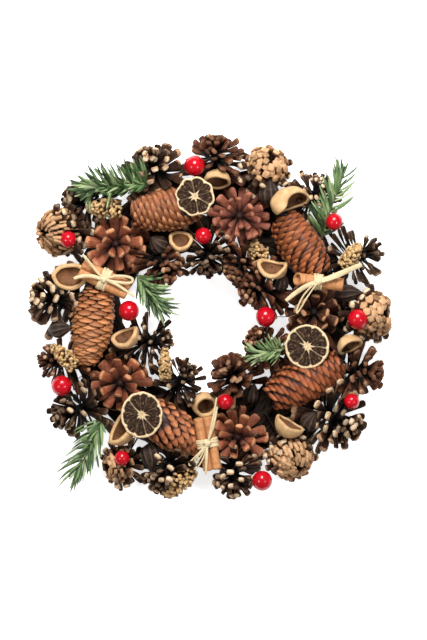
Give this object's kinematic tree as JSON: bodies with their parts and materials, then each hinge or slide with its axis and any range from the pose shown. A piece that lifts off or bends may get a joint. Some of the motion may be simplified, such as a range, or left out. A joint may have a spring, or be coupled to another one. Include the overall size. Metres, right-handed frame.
{
  "type": "pinecone wreath",
  "caption": "Round wreath of pine cones, shell cups, pods, berries, cinnamon, citrus slices and needle sprigs on a ring of vines, with an open middle.",
  "frame": {"origin": "centre of the footprint's bounding box, at the level of the flat spots of the vine ring's back", "axes": "+X to the wreath's right seen from the front, +Y to its top, +Z out of its front"},
  "size_m": [0.3548, 0.36, 0.0795],
  "materials": {
    "vine": "rough bark",
    "long": "satin scales",
    "rosette": "dry scales with lighter tips",
    "dark": "dry scales with light tips",
    "golden": "satin",
    "cup": "dry shell, brown inside",
    "pod": "hard ridged shell",
    "cinnamon": "dry bark",
    "raffia": "dry palm fibre",
    "citrus": "dried fruit, dark flesh in a pale rim",
    "berry": "glossy lacquer",
    "needle": "satin needles"
  },
  "bodies": {
    "root": {"berry_pick_bottom": "berry", "berry_pick_inner": "berry", "berry_pick_left": "berry", "berry_pick_lower_left": "berry", "berry_pick_right": "berry", "berry_pick_top": "berry", "cinnamon_bottom": "cinnamon", "cinnamon_left": "cinnamon", "cinnamon_right": "cinnamon", "citrus_slice_lower_left": "citrus", "citrus_slice_right": "citrus", "citrus_slice_top": "citrus", "golden_cone_bottom": "golden", "golden_cone_inner": "golden", "golden_cone_left": "golden", "golden_cone_right": "golden", "golden_cone_right_inner": "golden", "golden_cone_upper_left": "golden", "long_cone_bottom": "long", "long_cone_left": "long", "long_cone_right": "long", "long_cone_top": "long", "long_cone_upper_right": "long", "pine_cones_left": "dark", "pine_cones_low_left": "dark", "pine_cones_low_right": "dark", "pine_cones_right": "dark", "pine_cones_top": "dark", "pod_left": "pod", "pod_low_left": "pod", "pod_low_right": "pod", "pod_low_right_inner": "pod", "pod_right": "pod", "pod_right_inner": "pod", "pod_top": "pod", "pod_upper_left": "pod", "raffia_tie_bottom": "raffia", "raffia_tie_left": "raffia", "raffia_tie_right": "raffia", "rosette_cone_bottom": "rosette", "rosette_cone_lower_left": "rosette", "rosette_cone_right": "rosette", "rosette_cone_top": "rosette", "rosette_cone_upper_left": "rosette", "shell_cup_bottom_inner": "cup", "shell_cup_left_lower": "cup", "shell_cup_left_upper": "cup", "shell_cup_low_right": "cup", "shell_cup_lower_left": "cup", "shell_cup_right": "cup", "shell_cup_right_inner": "cup", "shell_cup_top": "cup", "shell_cup_top_inner": "cup", "shell_cup_upper_right": "cup", "sprig_left_inner": "needle", "sprig_lower_left": "needle", "sprig_right_inner": "needle", "sprig_upper_left": "needle", "sprig_upper_right": "needle", "vine_ring": "vine"}
  },
  "joints": []
}
